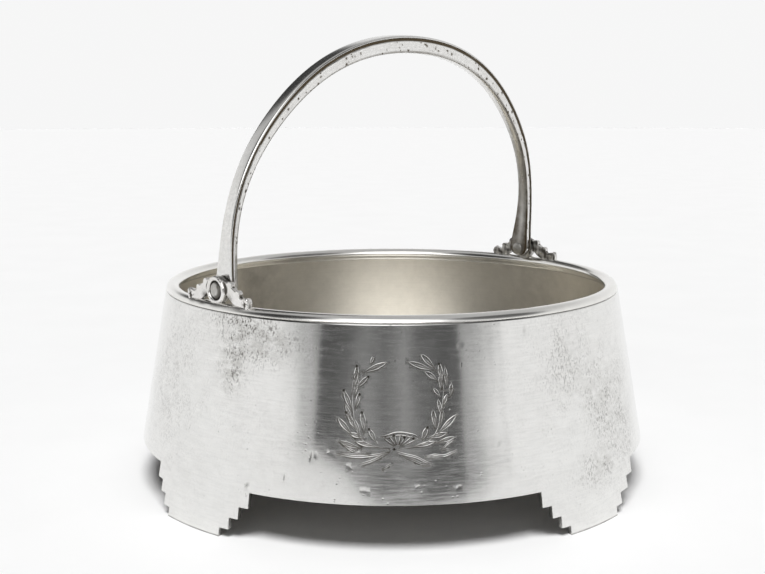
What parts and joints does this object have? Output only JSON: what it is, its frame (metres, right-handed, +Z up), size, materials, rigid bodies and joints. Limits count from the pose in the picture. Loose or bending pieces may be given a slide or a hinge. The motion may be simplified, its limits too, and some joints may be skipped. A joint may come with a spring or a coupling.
{
  "type": "sugar bowl with swing handle",
  "caption": "Shallow round silver-plated sugar bowl with leaning wall, stepped feet cut from the wall, half-round rim, pierced cast lugs and an arched swing handle.",
  "frame": {"origin": "on the table, under the middle of the bowl", "axes": "+Z up; -Y faces the engraved front, between two feet; the bail's pivot line runs along +X+Y"},
  "size_m": [0.124, 0.124, 0.1065],
  "materials": {
    "wall_silver": "polished silver plate, worn, with fine scratches and dents",
    "inside_silver": "satin silver plate, slightly tarnished",
    "rim_silver": "polished silver plate",
    "cast_silver": "cast and plated, dark in the hollows",
    "pin_silver": "dull riveted metal",
    "bail_silver": "cast and plated, polished, with casting pits"
  },
  "bodies": {
    "bowl": {"bowl_wall": "wall_silver", "bowl_floor": "inside_silver", "rim_band": "rim_silver", "hinge_lug_left": "cast_silver", "hinge_lug_right": "cast_silver", "hinge_pin_left": "pin_silver", "hinge_pin_right": "pin_silver"},
    "bail": {"bail_handle": "bail_silver"}
  },
  "joints": [
    {"name": "bail_swing", "type": "hinge", "parent": "bowl", "child": "bail", "pos_m": [0, 0, 0.0504], "axis": [0.7071, 0.7071, 0], "range_deg": [-96.5, 83.5]}
  ]
}
